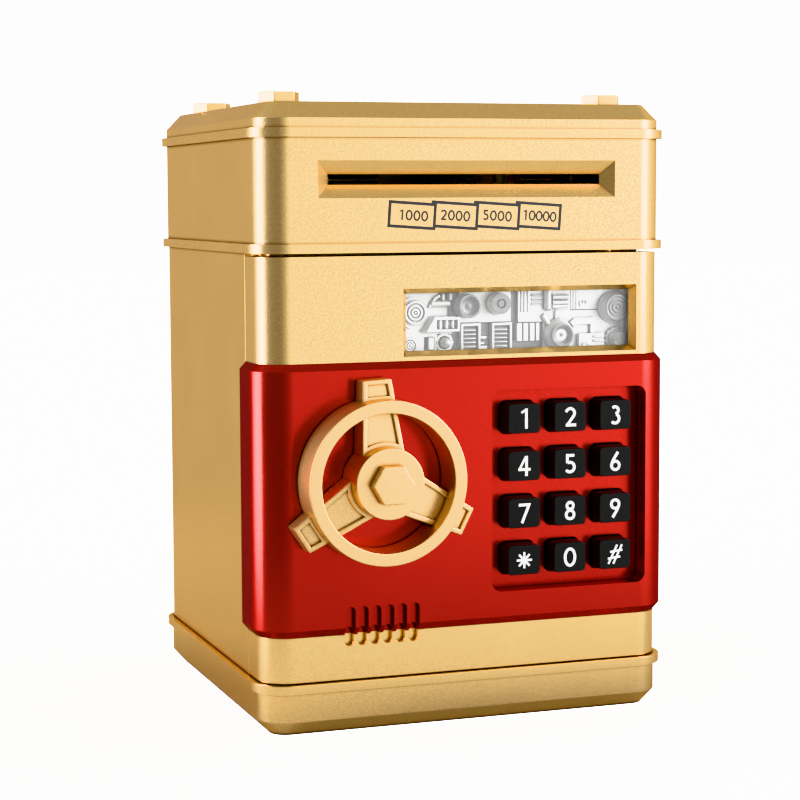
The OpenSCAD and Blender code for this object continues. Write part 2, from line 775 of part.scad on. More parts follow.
module door_band() {
    w = mid_w + 2 * band_out;
    d = mid_d + 2 * band_out;
    r = mid_r + band_out;
    low = band_z[0] + band_bevel[0];
    high = band_z[1] - band_bevel[1];
    pocket_mid = [(pocket[0] + pocket[1]) / 2, (pocket[2] + pocket[3]) / 2];
    pocket_size = [pocket[1] - pocket[0], pocket[3] - pocket[2]];
    color(red) difference() {
        union() {
            intersection() {
                difference() {
                    union() {
                        tier(w, d, r, band_z[0], low, band_out, 0);
                        tier(w, d, r, low, high);
                        tier(w, d, r, high, band_z[1], 0, band_out);
                    }
                    tier(mid_w, mid_d, mid_r, 0, case_h);
                }
                door_zone(hinge[1] - 3.6);
            }
            bar_y(pocket_mid, pocket_size[0] + 2 * pocket_wall, pocket_size[1] + 2 * pocket_wall,
                pocket_r + pocket_wall, [band_front + 1, pocket_floor_y + pocket_wall]);
            // pad that fills the door's opening behind the vents
            span_box(vent_pad_x, [door_front - 0.2, door_inner + speaker_pad],
                [band_z[0], vent_z[1] + 2]);
        }
        bar_y(pocket_mid, pocket_size[0], pocket_size[1], pocket_r,
            [band_front - cut, pocket_floor_y]);
        for (i = [0 : 11])
            bar_y(key_place(i), key_size[0] + 2 * key_gap, key_size[1] + 2 * key_gap,
                key_r + key_gap, [pocket_floor_y - cut, pocket_floor_y + pocket_wall + cut]);
        rod_y(wheel_at, bush_r, [band_front - cut, door_front + cut]);
        vents(band_front - cut, band_front + vent_depth, vent_w, vent_z);
        vents(band_front - cut, door_front + vent_depth, vent_w, [vent_z[0], low]);
        vents(band_front - cut, door_inner + speaker_pad + cut, sound_slot_w,
            [low + 1, vent_z[1] - 1.5], sound_slot_shift);
    }
}

module door_back_cover() {
    color(gold) difference() {
        union() {
            span_box([-mid_w / 2 + wall + slack, hinge[0] - knuckle_r - slack], back_plate_y,
                [door_z[0] + wall + slack, door_z[1] - wall - slack]);
            span_box([hump[0], hump[1]], [back_plate_y[0], hump_back], [hump[2], hump[3]]);
        }
        span_box([hump[0] + hump_wall, hump[1] - hump_wall], [back_plate_y[0] - cut, hump_back - hump_wall],
            [hump[2] + hump_wall, hump[3] - hump_wall]);
        span_box([hump[0] - cut, hump[0] + hump_wall + cut], [bolt_y[0] - slack, bolt_y[1] + slack],
            [bolt_z0 - slack, rack_root + slack]);
        for (at = door_boss_at) rod_y(at, door_screw_r, [back_plate_y[0] - cut, back_plate_y[1] + cut]);
    }
}

module door_cover_screws() {
    color(steel) for (at = door_boss_at) {
        rod_y(at, 2.2, [back_plate_y[1], back_plate_y[1] + 1.6]);
        rod_y(at, door_screw_r, [back_plate_y[0] - 7.5, back_plate_y[1] + cut]);
    }
}

module window_lens() {
    color([0.9, 0.95, 1, 0.35])
        span_box([window[0] - 1, window[1] + 1], [door_inner, door_inner + lens_t],
            [window[2] - 0.6, window[3] + 0.6]);
}

// Tray behind the window with moulded machinery on its floor. Sizes run from its left bottom corner.
module relief_plate() {
    x = [window[0] - 1, window[1] + 1];
    z = [window[2] - 0.6, window[3] + 0.6];
    // turrets and dials: x, z, radius and height
    turrets = [[4.2, 13, 3.4, 1.6], [14, 4, 2.4, 2.6], [22, 14.6, 3.4, 4], [31, 15, 3, 4],
        [51, 6, 3.4, 5], [68, 13.6, 3.2, 5], [70, 4.4, 2, 4]];
    // blocks: x, z, width, depth and height
    blocks = [[9, 11.5, 9, 5, 1.2], [7, 8.5, 11.5, 3, 1.6], [19.5, 1.5, 5, 7, 2], [29, 1.5, 5.8, 7, 2],
        [38, 4.5, 6.8, 5, 1.4], [46, 13, 7.5, 5, 2.2], [57, 1.5, 7, 4, 1.6], [55, 6, 7, 4.5, 1]];
    color(silver) {
        difference() {
            span_box(x, [lens_back, relief_base_y + relief_t], z);
            span_box([x[0] + relief_wall, x[1] - relief_wall], [lens_back - cut, relief_base_y],
                [z[0] + relief_wall, z[1] - relief_wall]);
        }
        for (t = turrets)
            rod_y([x[0] + t[0], z[0] + t[1]], t[2], [relief_base_y - t[3], relief_base_y + cut]);
        for (b = blocks)
            span_box([x[0] + b[0], x[0] + b[0] + b[2]], [relief_base_y - b[4], relief_base_y + cut],
                [z[0] + b[1], z[0] + b[1] + b[3]]);
    }
}

module control_board() {
    color(board_green) {
        span_box([4, 57], board_y, [37, 103]);
        span_box([20, 34], [board_y[1] - 0.4, board_y[1] + 0.6], [50, 62]);
    }
}

module keypad_mat() {
    front = pocket_floor_y + pocket_wall + key_flange + key_travel + 0.35;
    y = [front, front + 1];
    color(black) {
        span_box([8, 55.5], y, [41, 98.5]);
        for (i = [0 : 11]) rod_y(key_place(i), 2.6, [y[1] - 0.5, board_y[0] - 0.05]);
    }
}

module speaker() {
    y0 = door_inner + speaker_pad + 0.1;
    color(black) {
        difference() {
            rod_y(speaker_at, speaker_r, [y0, y0 + 2]);
            rod_y(speaker_at, speaker_r - 2.5, [y0 - cut, y0 + 1.2]);
        }
        rod_y(speaker_at, speaker_r - 4, [y0 + 1.5, y0 + 5.5]);
    }
}

module shaft_bush() {
    color(brass) difference() {
        union() {
            rod_y(wheel_at, bush_r, [band_front + 0.1, door_inner + 3]);
            rod_y(wheel_at, bush_r + 2, [door_inner, door_inner + 1.5]);
        }
        rod_y(wheel_at, shaft_r + running, [band_front - cut, door_inner + 4]);
    }
}

// Key i, counted along the rows from the top left
function key_place(i) = key_mid + [(i % 3 - 1) * key_pitch[0], (1.5 - floor(i / 3)) * key_pitch[1]];

module key(i) {
    back = pocket_floor_y + pocket_wall;
    color(black) {
        bar_y(key_place(i), key_size[0], key_size[1], key_r, [band_front, back + key_flange]);
        bar_y(key_place(i), key_size[0] + 2 * key_flange_out, key_size[1] + 2 * key_flange_out, key_r,
            [back + 0.05, back + key_flange]);
    }
}

// ---- Hand wheel and lock ----

// Prism over a plan of half-widths along the reach, between the slopes out and back. All four
// are [inner, outer].
module spoke_prism(r, half, out, back) {
    intersection() {
        rotate([90, 0, 0]) linear_extrude(hex_out + case_d)
            polygon([[r[0], -half[0]], [r[1], -half[1]], [r[1], half[1]], [r[0], half[0]]]);
        translate([0, 0, -hub_r]) linear_extrude(2 * hub_r)
            polygon([[r[0], band_front - back[0]], [r[1], band_front - back[1]],
                [r[1], band_front - out[1]], [r[0], band_front - out[0]]]);
    }
}

// Value of a straight taper from a[0] at the hub to a[1] at the tip, at radius r
function along(a, r) = a[0] + (a[1] - a[0]) * (r - hub_r) / (spoke_reach - hub_r);

module spoke() {
    pad = [ring_r[0] + pad_rim[0], spoke_reach - pad_rim[1]];
    difference() {
        spoke_prism([hub_r - 3, spoke_reach], [along(spoke_half, hub_r - 3), spoke_half[1]],
            [along(spoke_out, hub_r - 3), spoke_out[1]], [wheel_gap, wheel_gap]);
        for (r = [[hub_r, ring_r[1] + 1], pad]) difference() {
            spoke_prism(r, [for (k = r) along(spoke_half, k) - spoke_rim],
                [for (k = r) along(spoke_out, k) + cut], [for (k = r) along(spoke_out, k) - spoke_recess]);
            rotate([90, 0, 0]) cylinder(h = case_d, r = hub_r + hub_rim);
        }
    }
}

module hand_wheel() {
    color(gold) difference() {
        union() {
            rod_y(wheel_at, hub_r, [band_front - hub_out, band_front - wheel_gap]);
            difference() {
                rod_y(wheel_at, ring_r[0], [band_front - ring_out, band_front - wheel_gap]);
                rod_y(wheel_at, ring_r[1], [band_front - ring_out - cut, band_front]);
            }
            translate([wheel_at[0], 0, wheel_at[1]])
                for (a = [90, 210, 330]) rotate([0, -a - spoke_turn, 0]) spoke();
        }
        rod_y(wheel_at, shaft_r, [band_front - hub_out + 1.5, band_front]);
        rod_y(wheel_at, 1.6, [band_front - hub_out - cut, band_front]);
    }
}

module wheel_bolt() {
    color(gold) {
        translate([wheel_at[0], band_front - hub_out, wheel_at[1]]) rotate([90, 0, 0])
            cylinder(h = hex_out - hub_out, r = hex_across / sqrt(3), $fn = 6);
        rod_y(wheel_at, 1.6, [band_front - hub_out - cut, band_front - 3]);
    }
}

module wheel_shaft() {
    color(steel) difference() {
        rod_y(wheel_at, shaft_r, [band_front - hub_out + 1.5, shaft_end]);
        rod_y(wheel_at, 1.6, [band_front - hub_out, band_front - 2]);
    }
}

module pinion() {
    color(brass) difference() {
        translate([wheel_at[0], bolt_y[1] + 0.5, wheel_at[1]]) rotate([90, 0, 0])
            linear_extrude(bolt_y[1] - bolt_y[0] + 1) polygon(gear_outline(pinion_m, pinion_teeth));
        rod_y(wheel_at, shaft_r, [bolt_y[0] - 2, bolt_y[1] + 2]);
    }
}

// Bolt with a rack on top, which the pinion drives, and a lug underneath for the solenoid
module lock_bolt() {
    pitch = PI * pinion_m;
    half = pitch / 4 - backlash / 2;
    slope = tan(pressure) * pinion_m;
    color(steel) {
        span_box(bolt_x, bolt_y, [bolt_z0, rack_root]);
        for (x = [wheel_at[0] + rack_span[0] * pitch : pitch : wheel_at[0] + rack_span[1] * pitch])
            translate([x, bolt_y[1], rack_z]) rotate([90, 0, 0])
                linear_extrude(bolt_y[1] - bolt_y[0])
                    polygon([[-half - dedendum * slope, -dedendum * pinion_m - 0.2],
                        [half + dedendum * slope, -dedendum * pinion_m - 0.2],
                        [half - addendum * slope, addendum * pinion_m],
                        [-half + addendum * slope, addendum * pinion_m]]);
        span_box([lug_x - lug_half, lug_x + lug_half], bolt_y, [lug_z, bolt_z0 + cut]);
    }
}

module solenoid_frame() {
    x = [plunger_at[0] - 6.5, plunger_at[0] + 6.5];
    y = [plunger_at[1] - coil_r - 0.2, plunger_at[1] + coil_r];
    color(steel) difference() {
        union() {
            span_box(x, y, [coil_z[0] - frame_t, coil_z[0]]);
            span_box(x, y, [coil_z[1], coil_z[1] + frame_t]);
            for (side = [[x[0], x[0] + frame_t], [x[1] - frame_t, x[1]]])
                span_box(side, y, [coil_z[0] - frame_t, coil_z[1] + frame_t]);
        }
        rod_z(plunger_at, plunger_tip_r + running, [coil_z[1] - cut, coil_z[1] + frame_t + cut]);
    }
}

module solenoid_coil() {
    color([0.7, 0.35, 0.15]) difference() {
        rod_z(plunger_at, coil_r, coil_z);
        rod_z(plunger_at, core_r + running, [coil_z[0] - cut, coil_z[1] + cut]);
    }
}

module solenoid_plunger() {
    color(steel) {
        rod_z(plunger_at, core_r, [plunger_z[0], plunger_z[1]]);
        rod_z(plunger_at, plunger_tip_r, [plunger_z[1] - cut, plunger_z[2]]);
    }
}

// Return spring round the plunger's rod, swept along its helix
module plunger_spring() {
    wire = 0.25;
    mean_r = 1.9;
    turns = 4;
    sides = 6;
    per_turn = 14;
    rings = turns * per_turn;
    z = [plunger_z[1] + wire, coil_z[1] - wire];
    points = [for (k = [0 : rings], s = [0 : sides - 1])
        let (a = 360 * k / per_turn, b = 360 * s / sides, r = mean_r + wire * cos(b))
        [r * cos(a), r * sin(a), z[0] + (z[1] - z[0]) * k / rings + wire * sin(b)]];
    walls = [for (k = [0 : rings - 1], s = [0 : sides - 1])
        let (n = (s + 1) % sides)
        [k * sides + s, (k + 1) * sides + s, (k + 1) * sides + n, k * sides + n]];
    ends = [[for (s = [0 : sides - 1]) s], [for (s = [sides - 1 : -1 : 0]) rings * sides + s]];
    color(steel) translate([plunger_at[0], plunger_at[1], 0])
        polyhedron(points = points, faces = concat(walls, ends));
}

base_plinth();
chamber_floor();
rear_shell();
head_shell();
top_cover();
top_bolts();
head_screws();
base_screws();
strike_plate();
hinge_pins();
feeder_frame();
feed_motor();
note_sensor_board();
gear_axle();
battery_box();
battery_cells();
battery_contacts();
battery_cover();
battery_cover_screw();
door_panel();
door_band();
door_back_cover();
door_cover_screws();
window_lens();
relief_plate();
control_board();
keypad_mat();
speaker();
solenoid_frame();
solenoid_coil();
plunger_spring();
shaft_bush();
hand_wheel();
wheel_bolt();
wheel_shaft();
pinion();
lock_bolt();
solenoid_plunger();
for (i = [0 : 11])
    key(i);
drive_shaft();
drive_tyres();
roller_gear();
drive_sync_gear();
idler_shaft();
idler_tyres();
idler_sync_gear();
intermediate_gear();
motor_pinion();
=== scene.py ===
import json
import math

import bmesh
import bpy
from mathutils import Matrix, Vector


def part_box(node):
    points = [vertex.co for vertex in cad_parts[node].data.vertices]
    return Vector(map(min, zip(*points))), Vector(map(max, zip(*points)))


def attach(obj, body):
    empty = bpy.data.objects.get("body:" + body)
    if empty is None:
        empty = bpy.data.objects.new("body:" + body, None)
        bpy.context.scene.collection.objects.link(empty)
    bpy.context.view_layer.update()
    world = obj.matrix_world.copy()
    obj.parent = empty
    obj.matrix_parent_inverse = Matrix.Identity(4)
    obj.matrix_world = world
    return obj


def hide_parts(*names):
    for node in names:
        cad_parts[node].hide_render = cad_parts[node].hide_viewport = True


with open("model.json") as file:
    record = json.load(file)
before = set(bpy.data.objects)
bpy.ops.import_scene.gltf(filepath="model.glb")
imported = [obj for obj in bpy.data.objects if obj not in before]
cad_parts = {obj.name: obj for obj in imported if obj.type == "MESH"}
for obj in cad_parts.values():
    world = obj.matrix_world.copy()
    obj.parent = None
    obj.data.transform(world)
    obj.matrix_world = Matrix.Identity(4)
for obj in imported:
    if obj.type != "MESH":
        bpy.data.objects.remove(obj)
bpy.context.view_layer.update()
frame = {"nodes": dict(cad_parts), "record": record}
MM = 0.001


# ---------------------------------------------------------------- slots, bodies and the relief's tray

NODE_SLOT = {row["node"]: row["material_slot"] for row in frame["record"]["subparts"]}
NODE_BODY = {
    node: body for body, nodes in frame["record"]["behaviour"]["bodies"].items() for node in nodes
}
# the relief's tray, in mm: its floor's place from front to back, its wall, and the heights over the
# floor of the wide raised areas and of the tallest pieces
TRAY_FLOOR, TRAY_WALL = -50.0, 1.0
PLATEAU, PEAK = 1.6, 5.6


# ---------------------------------------------------------------- camera and light

EYE = (-0.22838, -0.63025, 0.15701)
YAW, PITCH, ROLL = 19.02, -5.04, -0.30
FOCAL_LENGTH = 93.57
SHIFT = (0.0387, -0.0228)


def camera():
    """Camera at the catalogue view: in front, to the left and level with the upper body."""
    yaw, pitch, roll = (math.radians(angle) for angle in (YAW, PITCH, ROLL))
    ahead = Vector((math.sin(yaw) * math.cos(pitch), math.cos(yaw) * math.cos(pitch), math.sin(pitch)))
    level = Vector((math.cos(yaw), -math.sin(yaw), 0))
    upright = level.cross(ahead)
    right = level * math.cos(roll) + upright * math.sin(roll)
    up = right.cross(ahead)
    data = bpy.data.cameras.new("camera")
    data.lens = FOCAL_LENGTH
    data.shift_x, data.shift_y = SHIFT
    data.clip_start = 0.01
    eye = bpy.data.objects.new("camera", data)
    turn = Matrix((right, up, -ahead)).transposed().to_4x4()
    eye.matrix_world = Matrix.Translation(EYE) @ turn
    bpy.context.scene.collection.objects.link(eye)
    bpy.context.scene.camera = eye


def softbox(name, place, target, width, height, power):
    """Rectangular area light that looks from place to target."""
    data = bpy.data.lights.new(name, "AREA")
    data.shape = "RECTANGLE"
    data.size = width
    data.size_y = height
    data.energy = power
    lamp = bpy.data.objects.new(name, data)
    away = Vector(place) - Vector(target)
    lamp.matrix_world = Matrix.Translation(place) @ away.to_track_quat("Z", "Y").to_matrix().to_4x4()
    bpy.context.scene.collection.objects.link(lamp)


def shade(colour, factor):
    return tuple(min(1.0, c * factor) for c in colour)


# brightness of the room all round the object: degrees to the left of straight ahead, then colour
ROOM = [
    (172, (0.57, 0.56, 0.53)), (132, (0.57, 0.56, 0.53)), (112, (17, 17, 17)), (97, (17, 17, 17)),
    (74, (0.30, 0.29, 0.28)), (20, (0.30, 0.29, 0.28)), (2, (0.6, 0.6, 0.6)),
    (-14, (1.3, 1.3, 1.3)), (-24, (2.2, 2.2, 2.2)), (-36, (3, 3, 3)), (-60, (3, 3, 3)),
    (-80, (1, 1, 1)), (-172, (0.57, 0.56, 0.53)),
]
ROOM_PEAK = 17  # brightest value in ROOM
ROOM_TOP = (0.53, 0.51, 0.46)
ROOM_LOW = (0.2, 0.19, 0.17)
WHITE = 4  # strength of the white that the camera sees behind the object
# matt tone of the floor to the light: darker near the object as a painted shadow, lighter further out
FLOOR_NEAR = (0.25, 0.25, 0.25)
FLOOR_THROW = (0.5, 0.5, 0.5)
FLOOR_TURN = (0.075, 0.13)  # metres from the middle where the floor goes from near to throw
FLOOR_FADE = (0.2, 0.5)  # metres from the middle where it fades out for the light


def room_light(nodes, links):
    """Colour of the room by direction: panels and dark gaps all round, fading to an even top and
    an even low part."""
    place = nodes.new("ShaderNodeTexCoord")
    around = nodes.new("ShaderNodeTexGradient")
    around.gradient_type = "RADIAL"
    links.new(place.outputs["Generated"], around.inputs["Vector"])
    stops = sorted(((0.25 - angle / 360) % 1, shade(level, 1 / ROOM_PEAK)) for angle, level in ROOM)
    light = ramp(nodes, links, around.outputs["Fac"], stops)
    split = nodes.new("ShaderNodeSeparateXYZ")
    links.new(place.outputs["Generated"], split.inputs["Vector"])
    for colour, near, far in ((ROOM_TOP, 0.45, 0.85), (ROOM_LOW, -0.15, -0.55)):
        rise = nodes.new("ShaderNodeMapRange")
        rise.interpolation_type = "SMOOTHSTEP"
        rise.inputs["From Min"].default_value = near
        rise.inputs["From Max"].default_value = far
        links.new(split.outputs["Z"], rise.inputs["Value"])
        blend = nodes.new("ShaderNodeMix")
        blend.data_type = "RGBA"
        links.new(rise.outputs["Result"], blend.inputs["Factor"])
        links.new(light, blend.inputs["A"])
        blend.inputs["B"].default_value = (*shade(colour, 1 / ROOM_PEAK), 1)
        light = blend.outputs["Result"]
    return light


def studio():
    """Room light and one soft panel; the camera itself sees plain white behind the object."""
    world = bpy.data.worlds.new("studio")
    world.use_nodes = True
    nodes, links = world.node_tree.nodes, world.node_tree.links
    room = nodes["Background"]
    links.new(room_light(nodes, links), room.inputs["Color"])
    room.inputs["Strength"].default_value = ROOM_PEAK
    backdrop = nodes.new("ShaderNodeBackground")
    backdrop.inputs["Color"].default_value = (1, 1, 1, 1)
    backdrop.inputs["Strength"].default_value = WHITE
    rays = nodes.new("ShaderNodeLightPath")
    choice = nodes.new("ShaderNodeMixShader")
    links.new(rays.outputs["Is Camera Ray"], choice.inputs["Fac"])
    links.new(room.outputs["Background"], choice.inputs[1])
    links.new(backdrop.outputs["Background"], choice.inputs[2])
    links.new(choice.outputs["Shader"], nodes["World Output"].inputs["Surface"])
    bpy.context.scene.world = world
    bpy.context.scene.view_settings.view_transform = "Khronos PBR Neutral"
    softbox("front_panel", (1.117, -1.006, 0.637), (0, 0, 0.09), 0.7, 1.25, 32)


def floor():
    """Pale floor: even and white to the camera; to the light a small matt table with a painted shadow,
    darker close by.
    """
    mesh = bpy.data.meshes.new("floor")
    shape = bmesh.new()
    bmesh.ops.create_grid(shape, x_segments=1, y_segments=1, size=4)
    shape.to_mesh(mesh)
    shape.free()
    ground = bpy.data.objects.new("floor", mesh)
    bpy.context.scene.collection.objects.link(ground)
    paint, nodes, links, surface = new_material("pale_floor", (0.4, 0.4, 0.4), 0, 0.7)
    surface.inputs["Specular IOR Level"].default_value = 0.2
    surface.inputs["Emission Color"].default_value = (1, 1, 1, 1)
    surface.inputs["Emission Strength"].default_value = WHITE
    place = nodes.new("ShaderNodeTexCoord")
    reach = nodes.new("ShaderNodeVectorMath")
    reach.operation = "LENGTH"
    links.new(place.outputs["Object"], reach.inputs[0])
    matt = nodes.new("ShaderNodeBsdfDiffuse")
    # painted shadow: the floor's tone is darker close to the object
    tone = ramp(nodes, links, reach.outputs["Value"], list(zip(FLOOR_TURN, (FLOOR_NEAR, FLOOR_THROW))))
    links.new(tone, matt.inputs["Color"])
    fade = nodes.new("ShaderNodeMapRange")
    fade.inputs["From Min"].default_value, fade.inputs["From Max"].default_value = FLOOR_FADE
    links.new(reach.outputs["Value"], fade.inputs["Value"])
    table = nodes.new("ShaderNodeMixShader")
    links.new(fade.outputs["Result"], table.inputs["Fac"])
    links.new(matt.outputs["BSDF"], table.inputs[1])
    links.new(nodes.new("ShaderNodeBsdfTransparent").outputs["BSDF"], table.inputs[2])
    rays = nodes.new("ShaderNodeLightPath")
    choice = nodes.new("ShaderNodeMixShader")
    links.new(rays.outputs["Is Camera Ray"], choice.inputs["Fac"])
    links.new(table.outputs["Shader"], choice.inputs[1])
    links.new(surface.outputs["BSDF"], choice.inputs[2])
    links.new(choice.outputs["Shader"], nodes["Material Output"].inputs["Surface"])
    mesh.materials.append(paint)


# ---------------------------------------------------------------- materials

def new_material(name, colour, metallic, roughness):
    """Principled material; returns it with its nodes, links and surface shader."""
    paint = bpy.data.materials.new(name)
    paint.use_nodes = True
    nodes, links = paint.node_tree.nodes, paint.node_tree.links
    surface = nodes["Principled BSDF"]
    surface.inputs["Base Color"].default_value = (*colour, 1)
    surface.inputs["Metallic"].default_value = metallic
    surface.inputs["Roughness"].default_value = roughness
    return paint, nodes, links, surface


def noise_node(nodes, links, scale, detail, roughness=0.6, stretch=(1, 1, 1)):
    """Noise in the object's own coordinates; scale is in cells per metre."""
    place = nodes.new("ShaderNodeTexCoord")
    mapping = nodes.new("ShaderNodeMapping")
    mapping.inputs["Scale"].default_value = stretch
    grain = nodes.new("ShaderNodeTexNoise")
    grain.inputs["Scale"].default_value = scale
    grain.inputs["Detail"].default_value = detail
    grain.inputs["Roughness"].default_value = roughness
    links.new(place.outputs["Object"], mapping.inputs["Vector"])
    links.new(mapping.outputs["Vector"], grain.inputs["Vector"])
    return grain.outputs["Fac"]


def ramp(nodes, links, source, stops):
    """Colour ramp over source; stops are (position, colour) pairs."""
    node = nodes.new("ShaderNodeValToRGB")
    band = node.color_ramp
    while len(band.elements) < len(stops):
        band.elements.new(0.5)
    for element, (position, colour) in zip(band.elements, stops):
        element.position = position
        element.color = (*colour, 1)
    links.new(source, node.inputs["Fac"])
    return node.outputs["Color"]


def bump(nodes, links, surface, source, height, strength):
    """Adds a bump of the given height in metres."""
    node = nodes.new("ShaderNodeBump")
    node.inputs["Strength"].default_value = strength
    node.inputs["Distance"].default_value = height
    links.new(source, node.inputs["Height"])
    previous = surface.inputs["Normal"]
    if previous.is_linked:
        links.new(previous.links[0].from_socket, node.inputs["Normal"])
    links.new(node.outputs["Normal"], surface.inputs["Normal"])


def multiply(nodes, links, first, second):
    """Product of two colours."""
    blend = nodes.new("ShaderNodeMix")
    blend.data_type = "RGBA"
    blend.blend_type = "MULTIPLY"
    blend.inputs["Factor"].default_value = 1
    links.new(first, blend.inputs["A"])
    links.new(second, blend.inputs["B"])
    return blend.outputs["Result"]


# how far the painted corner shade reaches
CORNER_REACH = 0.0011  # metres
FLAKE_CELLS, CLOUD_CELLS, WAVE_CELLS = 2800, 45, 260  # noise cells per metre
FLAKE_HEIGHT, WAVE_HEIGHT = 0.000008, 0.00003  # metres


def corner_shade(nodes, links, dark):
    """Painted shade by ambient occlusion: white in the open, falling to dark in inside corners."""
    corners = nodes.new("ShaderNodeAmbientOcclusion")
    corners.samples = 8
    corners.inputs["Distance"].default_value = CORNER_REACH
    return ramp(nodes, links, corners.outputs["AO"], [(0.45, dark), (0.94, (1, 1, 1))])


def lacquer(name, colour, metallic, roughness, coat, flake=1.0, spread=0.16, dark=(0.35, 0.27, 0.2)):
    """Metallic lacquer: fine flakes in colour and bump, with slow clouds in roughness and painted
    shade darkening inside corners, where the clear layer thins too. coat is the clear layer's (weight,
    roughness, index)."""
    paint, nodes, links, surface = new_material(name, colour, metallic, roughness)
    coat_weight, coat_roughness, coat_index = coat
    surface.inputs["Coat Roughness"].default_value = coat_roughness
    surface.inputs["Coat IOR"].default_value = coat_index
    flakes = noise_node(nodes, links, FLAKE_CELLS, 2, 0.7)
    stops = [(0.34, shade(colour, 1 - spread)), (0.5, colour), (0.66, shade(colour, 1 + spread))]
    # painted shade: base colour, specular tint and coat weight fall off in inside corners
    corners = corner_shade(nodes, links, dark)
    tone = multiply(nodes, links, ramp(nodes, links, flakes, stops), corners)
    links.new(tone, surface.inputs["Base Color"])
    links.new(tone, surface.inputs["Specular Tint"])
    weight = nodes.new("ShaderNodeMath")
    weight.operation = "MULTIPLY"
    weight.inputs[1].default_value = coat_weight
    links.new(corners, weight.inputs[0])
    links.new(weight.outputs["Value"], surface.inputs["Coat Weight"])
    clouds = noise_node(nodes, links, CLOUD_CELLS, 3)
    span = nodes.new("ShaderNodeMapRange")
    span.inputs["To Min"].default_value = roughness - 0.04
    span.inputs["To Max"].default_value = roughness + 0.05
    links.new(clouds, span.inputs["Value"])
    links.new(span.outputs["Result"], surface.inputs["Roughness"])
    bump(nodes, links, surface, flakes, FLAKE_HEIGHT * flake, 0.5)
    bump(nodes, links, surface, noise_node(nodes, links, WAVE_CELLS, 2), WAVE_HEIGHT, 0.25)
    return paint


def deep_silver(name, colour, metallic):
    """Silver lacquer of the relief with painted shade: darker the deeper it lies."""
    paint = lacquer(
        name, colour, metallic, 0.36, (0.4, 0.3, 1.5), flake=0.8, spread=0.06, dark=(0.28, 0.28, 0.28)
    )
    nodes, links = paint.node_tree.nodes, paint.node_tree.links
    surface = nodes["Principled BSDF"]
    place = nodes.new("ShaderNodeTexCoord")
    split = nodes.new("ShaderNodeSeparateXYZ")
    links.new(place.outputs["Object"], split.inputs["Vector"])
    depth = nodes.new("ShaderNodeMapRange")
    depth.inputs["From Min"].default_value = TRAY_FLOOR * MM
    depth.inputs["From Max"].default_value = (TRAY_FLOOR - PLATEAU) * MM
    links.new(split.outputs["Y"], depth.inputs["Value"])
    # painted shade: the deeper the surface lies, the darker its colour
    tone = ramp(nodes, links, depth.outputs["Result"], [(0.1, (0.22, 0.22, 0.23)), (0.95, (1, 1, 1))])
    silver = surface.inputs["Base Color"].links[0].from_socket
    links.new(multiply(nodes, links, silver, tone), surface.inputs["Base Color"])
    return paint


def moulded(name, colour, roughness, grain=1800, depth=0.00003, specular=0.5):
    """Moulded plastic or rubber with a fine spark-eroded grain."""
    paint, nodes, links, surface = new_material(name, colour, 0, roughness)
    surface.inputs["Specular IOR Level"].default_value = specular
    cells = noise_node(nodes, links, grain, 3)
    stops = [(0.35, shade(colour, 0.85)), (0.65, shade(colour, 1.2))]
    links.new(ramp(nodes, links, cells, stops), surface.inputs["Base Color"])
    bump(nodes, links, surface, cells, depth, 0.6)
    return paint


def metal(name, colour, roughness, stretch=(1, 1, 12)):
    """Drawn or turned metal with fine streaks."""
    paint, nodes, links, surface = new_material(name, colour, 1, roughness)
    streaks = noise_node(nodes, links, 900, 3, 0.6, stretch)
    stops = [(0.3, shade(colour, 0.86)), (0.7, shade(colour, 1.08))]
    links.new(ramp(nodes, links, streaks, stops), surface.inputs["Base Color"])
    bump(nodes, links, surface, streaks, 0.00002, 0.4)
    return paint


def clear_plastic(name):
    """Thin clear sheet with a little haze."""
    paint, nodes, links, surface = new_material(name, (0.9, 0.94, 0.96), 0, 0.08)
    surface.inputs["Alpha"].default_value = 0.1
    bump(nodes, links, surface, noise_node(nodes, links, 60, 2), 0.00002, 0.1)
    return paint


def circuit(name):
    """Green solder mask over tracks."""
    paint, nodes, links, surface = new_material(name, (0.02, 0.16, 0.07), 0, 0.35)
    tracks = noise_node(nodes, links, 420, 1, 0.5, (1, 1, 0.25))
    stops = [(0.46, (0.01, 0.11, 0.05)), (0.5, (0.03, 0.24, 0.1))]
    links.new(ramp(nodes, links, tracks, stops), surface.inputs["Base Color"])
    bump(nodes, links, surface, tracks, 0.00005, 0.5)
    return paint


GOLD = (0.95, 0.625, 0.235)
SATIN_COAT = (0.7, 0.42, 1.6)
PAINTS = {}


